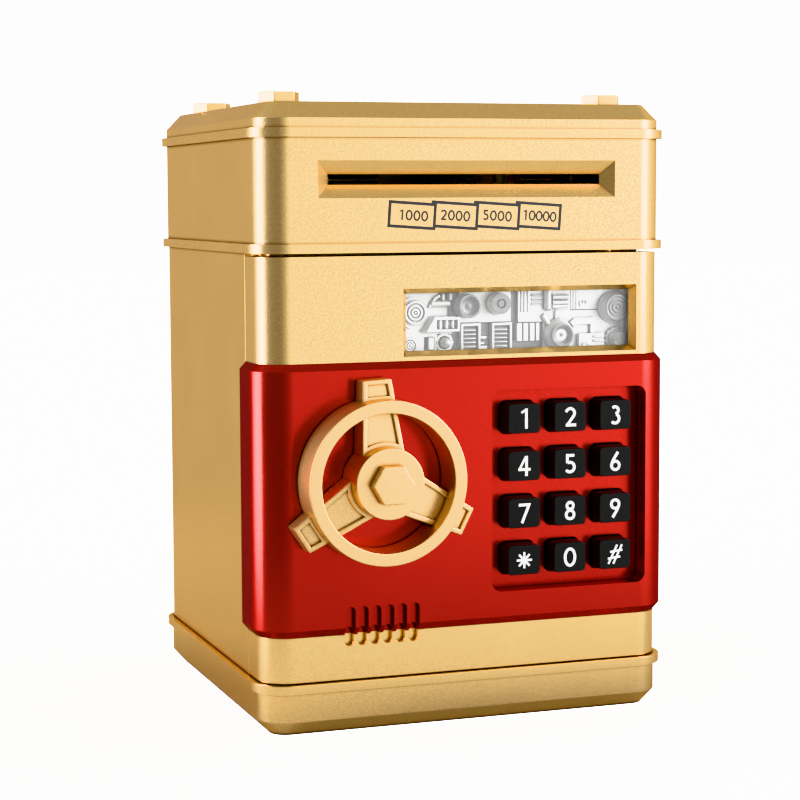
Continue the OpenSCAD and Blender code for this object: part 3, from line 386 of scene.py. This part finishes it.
def make_paints():
    PAINTS.update(
        gold_shell=lacquer("gold_lacquer", GOLD, 1.0, 0.19, SATIN_COAT),
        gold_wheel=lacquer(
            "wheel_lacquer", (0.87, 0.58, 0.26), 1.0, 0.32, (0.35, 0.42, 1.5), flake=1.3, spread=0.22
        ),
        red_band=lacquer(
            "red_lacquer", (0.36, 0.024, 0.018), 0.9, 0.2, (0.08, 0.3, 1.5), flake=0.6, spread=0.12,
            dark=(0.3, 0.3, 0.3),
        ),
        black_keys=moulded("key_plastic", (0.007, 0.007, 0.007), 0.6, 2200, 0.00003, 0.22),
        black_plastic=moulded("black_moulding", (0.022, 0.022, 0.024), 0.5),
        black_rubber=moulded("rubber", (0.016, 0.016, 0.016), 0.75, 1200, 0.00006, 0.3),
        clear_lens=clear_plastic("clear_plastic"),
        silver_relief=deep_silver("silver_lacquer", (0.72, 0.72, 0.72), 0.6),
        # dark grey for the hollow gauge discs: painted shade
        grey_relief=deep_silver("bowl_shade_lacquer", (0.16, 0.16, 0.165), 0.5),
        steel=metal("steel", (0.55, 0.55, 0.57), 0.32),
        brass=metal("brass", (0.78, 0.56, 0.24), 0.3),
        white_nylon=moulded("nylon", (0.8, 0.79, 0.73), 0.5),
        circuit_board=circuit("solder_mask"),
        copper_winding=metal("copper_wire", (0.72, 0.30, 0.14), 0.38, (1, 1, 30)),
        battery_sleeve=lacquer("cell_sleeve", (0.08, 0.16, 0.4), 0.3, 0.3, (0.4, 0.1, 1.5)),
        white_print=moulded("white_print", (0.85, 0.85, 0.85), 0.6, 1500, 0.00001),
        dark_print=moulded("dark_print", (0.012, 0.012, 0.014), 0.6, 1500, 0.00001),
    )


# ---------------------------------------------------------------- mesh helpers, lengths in mm

CREASE = math.radians(28)  # edges that bend more than this are edges of the form
WELD, SLIVER = 0.002, 0.08  # closest vertices and shortest edges that a copied node keeps
FLAT = math.radians(0.6)  # faces that bend less than this become one


def arc(x, z, radius, start, end, steps=12, tall=1.0):
    """Points on an arc, angles in degrees; tall stretches it upright."""
    turns = [math.radians(start + (end - start) * i / steps) for i in range(steps + 1)]
    return [(x + radius * math.cos(turn), z + radius * tall * math.sin(turn)) for turn in turns]


def circle(x, z, radius, tall=1.0, steps=32):
    return arc(x, z, radius, 0, 360, steps, tall)[:-1]


def rectangle(x0, z0, x1, z1, radius=0.0):
    """Outline with square or rounded corners."""
    if not radius:
        return [(x1, z1), (x0, z1), (x0, z0), (x1, z0)]
    corners = ((x1 - radius, z1 - radius), (x0 + radius, z1 - radius),
               (x0 + radius, z0 + radius), (x1 - radius, z0 + radius))
    return [place for turn, corner in enumerate(corners)
            for place in arc(*corner, radius, 90 * turn, 90 * turn + 90, 5)]


def loft(shape, *rings, capped=True):
    """Skin over rings from front to back; a ring is (outline, y), all with as many points."""
    loops = [[shape.verts.new((x * MM, y * MM, z * MM)) for x, z in outline] for outline, y in rings]
    for near, far in zip(loops, loops[1:]):
        for i in range(len(near)):
            shape.faces.new((near[i - 1], near[i], far[i], far[i - 1]))
    if capped:
        shape.faces.new(loops[0])
        shape.faces.new(reversed(loops[-1]))


def slab(shape, outline, front, back):
    loft(shape, (outline, front), (outline, back))


def tube(shape, outer, inner, front, back, floor):
    """Frame or ring: outer wall down to back, inner wall down to floor."""
    loft(shape, (outer, back), (outer, front), (inner, front), (inner, floor), capped=False)


def beside(points, distance, closed):
    """Line moved sideways, mitred at its bends."""
    line = [Vector(place) for place in points]
    steps = [(b - a).normalized() for a, b in zip(line, line[1:] + line[:1])]
    moved = []
    for i, place in enumerate(line):
        after = steps[i] if closed or i < len(line) - 1 else steps[i - 1]
        before = steps[i - 1] if closed or i else after
        bend = Vector((-before.y - after.y, before.x + after.x))
        moved.append(tuple(place + bend * distance / (1 + before.dot(after))))
    return moved


def stroke(shape, points, width, front, back, closed=False):
    """Line of even width with a flat front."""
    left, right = (beside(points, side * width / 2, closed) for side in (1, -1))
    if closed:
        tube(shape, left, right, front, back, back)
    else:
        slab(shape, left + right[::-1], front, back)


def finished(name, shape, slot, body, paint=None, replaced=(), rounding=0.0, flat=True, clamp=True):
    """Turns a bmesh into a piece that rides on a body and stands for the replaced nodes."""
    bmesh.ops.recalc_face_normals(shape, faces=shape.faces)
    if rounding:
        outer = [edge for edge in shape.edges if edge.is_convex and edge.calc_face_angle(0) > CREASE]
        bmesh.ops.bevel(
            shape, geom=outer, offset=rounding * MM, offset_type="OFFSET", segments=2, profile=0.5,
            affect="EDGES", clamp_overlap=clamp,
        )
    for edge in shape.edges:
        edge.smooth = edge.calc_face_angle(0) < CREASE
    mesh = bpy.data.meshes.new(name)
    shape.to_mesh(mesh)
    shape.free()
    mesh.materials.append(PAINTS[paint or slot])
    piece = bpy.data.objects.new(name, mesh)
    bpy.context.scene.collection.objects.link(piece)
    if flat:
        flatten = piece.modifiers.new("flat_faces", "WEIGHTED_NORMAL")
        flatten.mode = "FACE_AREA"
        flatten.weight = 100
        flatten.keep_sharp = True
        mesh.polygons.foreach_set("use_smooth", [True] * len(mesh.polygons))
    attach(piece, body)
    if replaced:
        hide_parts(*replaced)
    return piece


def softened_node(node, width, clamp):
    """Copy of a CAD node with its edges rounded; it stands for the node."""
    shape = bmesh.new()
    shape.from_mesh(frame["nodes"][node].data)
    bmesh.ops.remove_doubles(shape, verts=shape.verts, dist=WELD * MM)
    bmesh.ops.dissolve_limit(
        shape, angle_limit=FLAT, verts=shape.verts, edges=shape.edges, delimit=set()
    )
    bmesh.ops.dissolve_degenerate(shape, edges=shape.edges, dist=SLIVER * MM)
    finished(
        node + "_moulding", shape, NODE_SLOT[node], NODE_BODY[node], replaced=(node,), rounding=width,
        clamp=clamp,
    )


def keep_node(node):
    """A CAD node that stays as it is, with its finish."""
    piece = frame["nodes"][node]
    paint = PAINTS[NODE_SLOT[node]]
    if not piece.material_slots:
        piece.data.materials.append(paint)
    for holder in piece.material_slots:
        holder.material = paint


# ---------------------------------------------------------------- numerals and print

BOLD, STAR_BAR, HASH_BAR = 0.165, 0.13, 0.12


def glyph(mark):
    """Strokes of a numeral one unit tall and centred on x = 0, as (points, width, closed)."""
    if mark == "0":
        return [(circle(0, 0.5, 0.27, 1.56), BOLD, True)]
    if mark == "1":
        return [([(0.1, 0), (0.1, 1)], BOLD, False), ([(-0.17, 0.80), (0.07, 0.93)], 0.12, False)]
    if mark == "2":
        curve = arc(-0.01, 0.68, 0.235, 165, -35)
        return [(curve + [(-0.17, 0.0825)], BOLD, False),
                ([(-0.25, 0.0825), (0.31, 0.0825)], BOLD, False)]
    if mark == "3":
        return [(arc(-0.03, 0.735, 0.18, 140, -80), BOLD, False),
                (arc(-0.03, 0.305, 0.225, 75, -140), BOLD, False)]
    if mark == "4":
        return [([(0.11, 0), (0.11, 1)], BOLD, False), ([(0.07, 0.95), (-0.27, 0.34)], 0.13, False),
                ([(-0.33, 0.33), (0.33, 0.33)], 0.15, False)]
    if mark == "5":
        curve = arc(-0.02, 0.33, 0.245, 115, -145)
        return [([(0.22, 0.92), (-0.16, 0.92), (-0.16, 0.54)], BOLD, False), (curve, BOLD, False)]
    if mark == "6":
        return [(circle(0, 0.30, 0.215), BOLD, True),
                ([(0.14, 0.98), (-0.10, 0.62), (-0.20, 0.40)], BOLD, False)]
    if mark == "7":
        return [([(-0.30, 0.9175), (0.25, 0.9175), (-0.13, 0)], BOLD, False)]
    if mark == "8":
        return [(circle(0, 0.745, 0.175), BOLD, True), (circle(0, 0.295, 0.215), BOLD, True)]
    if mark == "9":
        return [([(-x, 1 - z) for x, z in points], width, closed)
                for points, width, closed in glyph("6")]
    if mark == "*":
        return [(arc(0, 0.5, 0.41, turn, turn + 180, 1), STAR_BAR, False) for turn in (0, 45, 90, 135)]
    return [([(x - 0.24, 0.02), (x + 0.24, 0.98)], HASH_BAR, False) for x in (-0.12, 0.15)] + [
        ([(shift - 0.34, z - 0.03), (shift + 0.34, z + 0.05)], HASH_BAR, False)
        for shift, z in ((-0.05, 0.32), (0.07, 0.66))]


def write(shape, text, x, z, height, weight, pace, tilt, front, back):
    """Row of numerals centred on x, z; weight scales the strokes and pace is the step in mm."""
    turn = math.radians(tilt)
    for place, mark in enumerate(text):
        middle = pace * (place - (len(text) - 1) / 2)
        for layer, (points, width, closed) in enumerate(glyph(mark)):
            line = []
            for across, rise in points:
                right, up = middle + across * height, (rise - 0.5) * height
                line.append((x + right * math.cos(turn) - up * math.sin(turn),
                             z + right * math.sin(turn) + up * math.cos(turn)))
            stroke(shape, line, width * weight * height, front - 0.004 * layer, back, closed)


# ---------------------------------------------------------------- keys

FLANGE_DEPTH, SKIRT = 0.95, 1.2
KEY_RADIUS = 1.8
KEY_BODY = (10.9, 9.3, KEY_RADIUS)
# the key's soft front edge: width, height, corner radius and depth behind the face
KEY_EDGE = ((9.9, 8.3, 0.9, 0), (10.3, 8.7, 1.1, 0.09), (10.5, 8.9, 1.2, 0.34))
KEY_NAMES = {"key_star": "*", "key_hash": "#"}
NUMERAL_HEIGHT, NUMERAL_WEIGHT = 6.0, 0.85
INK_OUT, INK_IN = 0.03, 0.04  # how far the print stands out of and reaches into the key


def key_cap(node):
    """Rubber key with a soft front edge, its flange inside the door and its white numeral."""
    low, high = ([value / MM for value in corner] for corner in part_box(node))
    x, z = (low[0] + high[0]) / 2, (low[2] + high[2]) / 2
    front, back = low[1], high[1]

    def outline(width, height, radius):
        return rectangle(x - width / 2, z - height / 2, x + width / 2, z + height / 2, radius)

    flange_front = back - FLANGE_DEPTH
    flange = (high[0] - low[0], high[2] - low[2], KEY_RADIUS)
    rings = [(outline(width, height, radius), front + depth) for width, height, radius, depth in KEY_EDGE]
    rings += [(outline(*KEY_BODY), flange_front - SKIRT), (outline(*KEY_BODY), flange_front),
              (outline(*flange), flange_front), (outline(*flange), back)]
    cap = bmesh.new()
    loft(cap, *rings)
    finished(node + "_cap", cap, "black_keys", NODE_BODY[node], replaced=(node,))
    ink = bmesh.new()
    mark = KEY_NAMES.get(node, node[-1])
    write(ink, mark, x, z, NUMERAL_HEIGHT, NUMERAL_WEIGHT, 0, 0, front - INK_OUT, front + INK_IN)
    finished(node + "_numeral", ink, "black_keys", NODE_BODY[node], "white_print", flat=False)


# ---------------------------------------------------------------- note icons on the head

HEAD_FACE, NOTE_TILT = -59.8, -4.0
NOTE_WIDTH, NOTE_HEIGHT, NOTE_LINE = 14.1, 7.0, 0.95
NOTE_CORNER = (-24.95, 156.05)  # top left corner of the first note
NOTE_PITCH, NOTE_SINK = 13.32, 0.15  # steps to the next note, across and down
VALUE_MIDDLE, VALUE_HEIGHT, VALUE_WEIGHT = 152.0, 3.1, 1.15
# value, place of its middle and step from numeral to numeral
NOTES = (("1000", -17.9, 2.42), ("2000", -4.7, 2.42), ("5000", 8.6, 2.42), ("10000", 22.1, 2.28))


def note_icons():
    """Four overlapping banknote outlines, each partly behind the one on its left, with their values."""
    ink = bmesh.new()
    turn = math.radians(NOTE_TILT)
    back = HEAD_FACE + 0.05
    for place, (value, x, pace) in enumerate(NOTES):
        left, top = NOTE_CORNER[0] + NOTE_PITCH * place, NOTE_CORNER[1] - NOTE_SINK * place

        def at(right, down):
            return (left + right * math.cos(turn) + down * math.sin(turn),
                    top + right * math.sin(turn) - down * math.cos(turn))

        front = HEAD_FACE - 0.03 - 0.003 * place
        if place:
            stub = [at(NOTE_WIDTH - NOTE_PITCH, NOTE_HEIGHT), at(NOTE_WIDTH, NOTE_HEIGHT),
                    at(NOTE_WIDTH, 0), at(0, 0), at(0, 0.75)]
            stroke(ink, stub, NOTE_LINE, front, back)
        else:
            box = [at(0, 0), at(NOTE_WIDTH, 0), at(NOTE_WIDTH, NOTE_HEIGHT), at(0, NOTE_HEIGHT)]
            stroke(ink, box, NOTE_LINE, front, back, True)
        write(ink, value, x, VALUE_MIDDLE - NOTE_SINK * place, VALUE_HEIGHT, VALUE_WEIGHT, pace, NOTE_TILT,
              front, back)
    finished("note_icons", ink, "gold_shell", NODE_BODY["head_shell"], "dark_print", flat=False)


# ---------------------------------------------------------------- relief behind the window

def relief():
    """Silver machinery relief: a tray with recesses, dials, turrets, louvres, ribs and pipes.
    Heights are over the tray floor; places are x, z in the frame."""
    shape, discs = bmesh.new(), bmesh.new()
    low, high = ([value / MM for value in corner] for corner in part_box("relief_plate"))
    left, right = low[0] + TRAY_WALL, high[0] - TRAY_WALL
    bottom, top = low[2] + TRAY_WALL, high[2] - TRAY_WALL

    def level(height):
        return TRAY_FLOOR - height

    def block(outline, height):
        slab(shape, outline, level(height), level(0))

    def ring(x, z, outer, inner, height, floor, base=PLATEAU):
        tube(shape, circle(x, z, outer), circle(x, z, inner), level(height), level(base), level(floor))

    def turned(x, z, *profile):
        loft(shape, *((circle(x, z, radius), level(height)) for radius, height in profile))

    def rod(start, end, radius, height):
        """Round bar between two places, its axis at the height."""
        ends = [Vector((x * MM, level(height) * MM, z * MM)) for x, z in (start, end)]
        along = ends[1] - ends[0]
        turn = along.to_track_quat("Z", "Y").to_matrix().to_4x4()
        bmesh.ops.create_cone(
            shape, cap_ends=True, segments=20, radius1=radius * MM, radius2=radius * MM,
            depth=along.length, matrix=Matrix.Translation(ends[0] + along / 2) @ turn,
        )

    def line(points, width, height, base=PLATEAU, closed=False):
        stroke(shape, points, width, level(height), level(base), closed)

    def dial(x, z, radius):
        """Flat dial of concentric rings."""
        turned(x, z, (radius, PLATEAU + 0.25), (radius, PLATEAU))
        for share in (1.0, 0.66, 0.36):
            ring(x, z, radius * share, radius * (share - 0.17), PLATEAU + 0.8, PLATEAU + 0.2)
        turned(x, z, (0.09 * radius, PLATEAU + 0.9), (0.12 * radius, PLATEAU))

    def bowl(x, z, rim):
        """Gauge: rim, inner ring and hollow disc with a button."""
        ring(x, z, rim, rim - 0.8, PEAK, PEAK - 1.6)
        ring(x, z, rim - 0.95, rim - 1.15, PEAK - 0.45, PEAK - 1.6)
        # the hollow disc goes into the separate dark grey piece: painted shade in the hollow
        profile = ((0.4, PEAK - 1.3), (0.9, PEAK - 1.5), (1.6, PEAK - 1.45), (rim - 1.05, PEAK - 1.1),
                   (rim - 0.6, PEAK - 1.0), (rim - 0.6, PEAK - 1.7))
        loft(discs, *((circle(x, z, radius), level(height)) for radius, height in profile))

    def louvre(x0, x1):
        """Framed shutter of five sloping slats."""
        frame_low, frame_top, border, rise = bottom, 119.5, 0.65, 1.15
        inner = rectangle(x0 + border, frame_low + 0.7, x1 - border, frame_top - border)
        tube(shape, rectangle(x0, frame_low, x1, frame_top), inner, level(2.6), level(0), level(0.9))
        block(inner, 0.9)
        for step in range(5):
            z = 112.4 + 1.22 * step
            near, far = [], []
            for height, lift in ((2.35, 0), (2.35, 0.22), (0.95, rise), (0.95, 0)):
                near.append(((x0 + border) * MM, level(height) * MM, (z + lift) * MM))
                far.append(((x1 - border - 0.35 * height) * MM, level(height) * MM, (z + lift) * MM))
            ends = [[shape.verts.new(place) for place in side] for side in (near, far)]
            shape.faces.new(ends[0])
            shape.faces.new(reversed(ends[1]))
            for i in range(4):
                shape.faces.new((ends[0][i - 1], ends[0][i], ends[1][i], ends[1][i - 1]))

    def cone(x, z, base, face):
        """Tall stepped cone with rings on its face."""
        turned(x, z, (face, PEAK - 0.3), (base - 0.4, PLATEAU + 0.9), (base, PLATEAU + 0.8), (base, 0))
        for share in (1.0, 0.70, 0.42):
            ring(x, z, face * share, face * (share - 0.16), PEAK, PEAK - 0.4, PEAK - 0.5)
        turned(x, z, (0.1 * face, PEAK), (0.14 * face, PEAK - 0.5))

    tube(shape, rectangle(low[0], low[2], high[0], high[2]), rectangle(left, bottom, right, top),
         low[1], high[1], TRAY_FLOOR)
    slab(shape, rectangle(left, bottom, right, top), TRAY_FLOOR, high[1])

    block([(left, bottom), (-11.6, bottom), (-11.6, 115.8), (-8.2, 115.8), (-8.2, bottom), (-7.4, bottom),
           (-7.4, 116.6), (-2.6, 116.6), (-2.6, 121.6), (-4.1, 121.6), (-4.1, 126.8), (-7.0, 126.8),
           (-7.0, top), (left, top)], PLATEAU)
    block(rectangle(-0.3, 119.8, 16.4, top), PLATEAU)
    block(rectangle(18.8, 119.5, 27.1, 122.5), PLATEAU)
    for x0, x1 in ((18.8, 19.55), (19.85, 20.55), (20.85, 21.65), (21.95, 36.0), (36.2, 36.85),
                   (37.1, 37.8), (38.0, right)):
        block(rectangle(x0, 122.5 if x0 < 27 else 122.95, x1, top), PLATEAU)
    block(rectangle(27.1, bottom, right, 122.65), PLATEAU)

    dial(-14.5, 123.1, 3.5)
    line(arc(-14.5, 123.1, 4.7, 110, 250), 0.55, PLATEAU + 0.7)
    dial(-16.3, 113.3, 2.3)
    rod((-9.5, 125.7), (-3.6, 125.7), 1.0, 2.0)
    line([(-10.1, 124.6), (-8.2, 127.3), (-6.8, 128.1)], 0.7, 2.6)
    for x in (-5.8, -3.5):
        block(rectangle(x - 0.35, 126.7, x + 0.35, 128.6, 0.1), 2.9)

    slope = [(-1.1, 121.7), (-9.0, 121.9), (-11.7, 117.4), (-1.1, 117.4)]
    foot = [(-1.1, 121.7), (-9.8, 121.9), (-13.1, 117.3), (-1.1, 117.4)]
    opening = rectangle(-8.5, 118.1, -1.8, 120.9)
    loft(shape, (foot, level(PLATEAU)), (slope, level(4.4)), (opening, level(4.4)), (opening, level(2.9)),
         capped=False)
    block(opening, 2.9)
    for x, radius in ((-7.2, 0.65), (-5.2, 0.6), (-3.2, 0.5)):
        rod((x, 118.2), (x, 120.8), radius, 3.5)

    block(rectangle(-10.3, 112.0, -8.7, 115.6, 0.15), 2.4)
    tube(shape, circle(-5.0, 114.0, 2.9, 1, 8), circle(-5.0, 114.0, 2.1, 1, 8), level(PLATEAU), level(0),
         level(0))
    turned(-5.0, 114.0, (0.3, 4.8), (0.8, 4.6), (1.05, 4.1), (1.1, 3.4), (1.5, 2.6), (1.6, 0))

    turned(1.7, 124.9, (3.55, 4.0), (3.65, PLATEAU), (3.65, 0))
    bowl(1.7, 124.9, 3.6)
    ring(11.7, 125.4, 3.15, 1.5, PEAK, PEAK - 1.1)
    turned(11.7, 125.4, (3.1, PEAK - 1.1), (3.4, 0))
    turned(11.7, 125.4, (0.8, PEAK), (1.05, PEAK - 0.15), (1.1, PEAK - 1.1))
    louvre(0.0, 6.2)
    louvre(10.0, 16.4)
    for x1, z0, z1 in ((8.1, 114.9, 115.6), (7.4, 113.2, 113.8), (8.4, 111.8, 112.7)):
        block(rectangle(6.2, z0, x1, z1, 0.1), 2.4)

    for z in (127.6, 126.2, 124.9):
        line(rectangle(23.1, z - 0.3, 26.6, z + 0.3, 0.25), 0.16, PLATEAU + 0.3, PLATEAU, True)
        turned(23.4, z, (0.15, PLATEAU + 0.55), (0.35, PLATEAU))
    rod((28.3, 123.3), (28.3, top), 1.2, 2.2)
    for x, z in ((27.9, 123.3), (28.8, 123.1)):
        turned(x, z, (0.12, 3.9), (0.3, 3.7), (0.35, 2.0))
    for z, radius, height in ((126.9, 0.75, 2.7), (125.3, 0.7, 2.7), (124.1, 0.65, 2.3)):
        rod((29.6, z), (34.9, z), radius, height)
    line([(29.6, 123.3), (34.6, 123.3)], 0.3, PLATEAU + 0.5)
    for points in ([(39.2, 123.8), (39.2, 125.5)], [(40.1, 125.7), (40.3, 125.2), (40.1, 124.8)],
                   [(41.0, 125.7), (41.3, 125.2), (41.0, 124.7)]):
        line(points, 0.25, PLATEAU + 0.4)

    for x0, x1 in ((18.1, 19.7), (20.2, 21.7), (22.3, 23.8), (24.3, 25.4)):
        block(rectangle(x0, 113.9, x1, 119.2, 0.15), 2.6)
    rod((28.8, 118.7), (26.7, 121.5), 0.85, 1.9)
    rod((31.1, 119.6), (31.1, 122.7), 0.5, 1.9)
    turned(31.9, 115.5, (3.65, PEAK - 1.4), (4.2, 3.6), (4.8, 2.6), (4.95, PLATEAU), (4.95, 0))
    bowl(31.9, 115.5, 3.7)

    block([(35.6, 119.2), (37.2, 120.4), (43.6, 120.4), (44.2, 119.8), (44.2, 115.4), (42.4, 115.4),
           (42.4, 118.5), (38.1, 118.5), (36.9, 117.6)], 2.7)
    block(rectangle(38.3, bottom, 46.6, 115.6, 0.2), 3.4)
    line(arc(40.2, 112.0, 1.05, 0, 180), 0.25, 3.7, 3.3)
    for z in (114.7, 113.4):
        rod((42.8, z), (46.5, z), 0.35, 3.5)
    cone(50.0, 123.5, 4.8, 3.9)
    teeth = [(50.8 + radius * math.cos(turn), 113.9 + radius * math.sin(turn))
             for turn, radius in ((math.pi * i / 24, 3.35 if i // 2 % 2 else 3.05) for i in range(48))]
    block(teeth, 2.6)
    cone(50.8, 113.9, 2.9, 2.1)
    body = NODE_BODY["relief_plate"]
    finished("relief", shape, "silver_relief", body, replaced=("relief_plate",), rounding=0.1)
    # the hollow discs take the dark grey lacquer as painted shade
    finished("relief_gauges", discs, "silver_relief", body, "grey_relief", rounding=0.05)


# ---------------------------------------------------------------- build

camera()
studio()
floor()
make_paints()

SOFT_EDGES = {
    "base_plinth": 0.5, "rear_shell": 0.3, "head_shell": 0.45, "top_cover": 0.5, "top_bolts": 0.35,
    "door_panel": 0.35, "door_band": 0.35, "door_back_cover": 0.5, "hand_wheel": 0.45,
    "wheel_bolt": 0.5, "battery_cover": 0.2,
}
KEYS = [node for node in frame["nodes"] if node.startswith("key_")]
for node, width in SOFT_EDGES.items():
    softened_node(node, width, node != "hand_wheel")
for node in KEYS:
    key_cap(node)
note_icons()
relief()
for node in frame["nodes"]:
    if node not in SOFT_EDGES and node not in KEYS and node != "relief_plate":
        keep_node(node)
